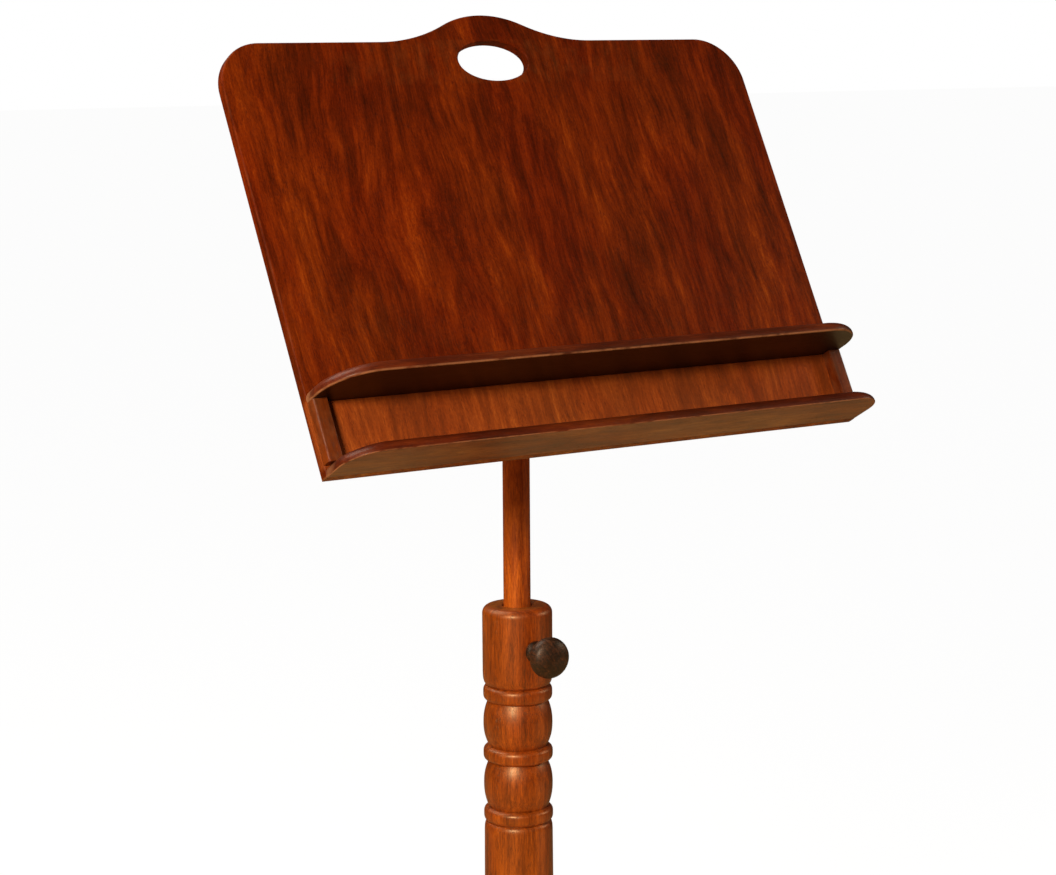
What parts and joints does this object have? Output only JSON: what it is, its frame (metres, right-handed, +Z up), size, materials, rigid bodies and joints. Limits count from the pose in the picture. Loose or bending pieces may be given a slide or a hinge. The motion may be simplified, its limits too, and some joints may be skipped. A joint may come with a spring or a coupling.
{
  "type": "music stand",
  "caption": "Wooden music stand: tilting desk with two ledges and a hand hole, on a rod that slides and turns in a turned column, on sawn legs.",
  "frame": {"origin": "where the column's axis meets the floor", "axes": "+Z up along the column's axis, the desk faces -Y, +X to the right of someone reading the music"},
  "size_m": [0.4958, 0.3965, 1.2717],
  "materials": {
    "desk_wood": "satin lacquered red-brown mahogany",
    "ledge_wood": "satin lacquered red-brown mahogany",
    "column_wood": "satin lacquered orange-brown hardwood",
    "dark_wood": "polished dark brown hardwood",
    "brass_hardware": "dull brass",
    "steel_hardware": "zinc plated",
    "blackened_steel": "blackened",
    "fibre": "pressed red fibre",
    "nylon": "natural nylon",
    "foot_rubber": "matt"
  },
  "bodies": {
    "base": {"post": "column_wood", "collar_insert": "brass_hardware", "rod_shoe": "brass_hardware", "leg_front": "column_wood", "leg_back_left": "column_wood", "leg_back_right": "column_wood", "spider_plate": "blackened_steel", "leg_screw_front": "steel_hardware", "leg_screw_back_left": "steel_hardware", "leg_screw_back_right": "steel_hardware", "post_screw": "steel_hardware", "foot_pad_front": "foot_rubber", "foot_pad_back_left": "foot_rubber", "foot_pad_back_right": "foot_rubber"},
    "height_knob": {"height_knob": "dark_wood", "height_stud": "steel_hardware"},
    "sleeve": {"guide_sleeve": "nylon"},
    "rod": {"inner_rod": "column_wood", "tilt_head": "column_wood", "head_pin": "column_wood", "left_friction_washer": "fibre", "right_friction_washer": "fibre", "rod_end_washer": "steel_hardware", "rod_end_screw": "steel_hardware"},
    "desk": {"desk_panel": "desk_wood", "upper_shelf": "ledge_wood", "lower_shelf": "ledge_wood", "left_end_block": "desk_wood", "right_end_block": "desk_wood", "lower_shelf_screw_left": "brass_hardware", "lower_shelf_screw_centre": "brass_hardware", "lower_shelf_screw_right": "brass_hardware", "upper_shelf_screw_left": "brass_hardware", "upper_shelf_screw_centre": "brass_hardware", "upper_shelf_screw_right": "brass_hardware", "left_block_screw": "brass_hardware", "right_block_screw": "brass_hardware", "bracket_pad": "desk_wood", "bracket_screw_upper_left": "brass_hardware", "bracket_screw_upper_right": "brass_hardware", "bracket_screw_lower_left": "brass_hardware", "bracket_screw_lower_right": "brass_hardware", "left_cheek": "desk_wood", "right_cheek": "desk_wood", "tilt_bolt": "steel_hardware", "tilt_washer": "steel_hardware"},
    "tilt_knob": {"tilt_knob": "dark_wood", "tilt_knob_insert": "brass_hardware"}
  },
  "joints": [
    {"name": "rod_slide", "type": "slide", "parent": "base", "child": "sleeve", "axis": [0, 0, 1], "range_m": [-0.1, 0.25]},
    {"name": "rod_turn", "type": "hinge", "parent": "sleeve", "child": "rod", "pos_m": [0, 0, 0.79], "axis": [0, 0, 1], "continuous": true},
    {"name": "desk_tilt", "type": "hinge", "parent": "rod", "child": "desk", "pos_m": [0, 0, 1.0901], "axis": [-1, 0, 0], "range_deg": [-28.6, 57]},
    {"name": "height_knob_turn", "type": "hinge", "parent": "base", "child": "height_knob", "pos_m": [-0.00215, -0.02992, 0.7562], "axis": [-0.0715, -0.9974, 0], "range_deg": [0, 720]},
    {"name": "tilt_knob_turn", "type": "hinge", "parent": "desk", "child": "tilt_knob", "pos_m": [0.0324, 0, 1.0901], "axis": [1, 0, 0], "range_deg": [0, 720]}
  ]
}
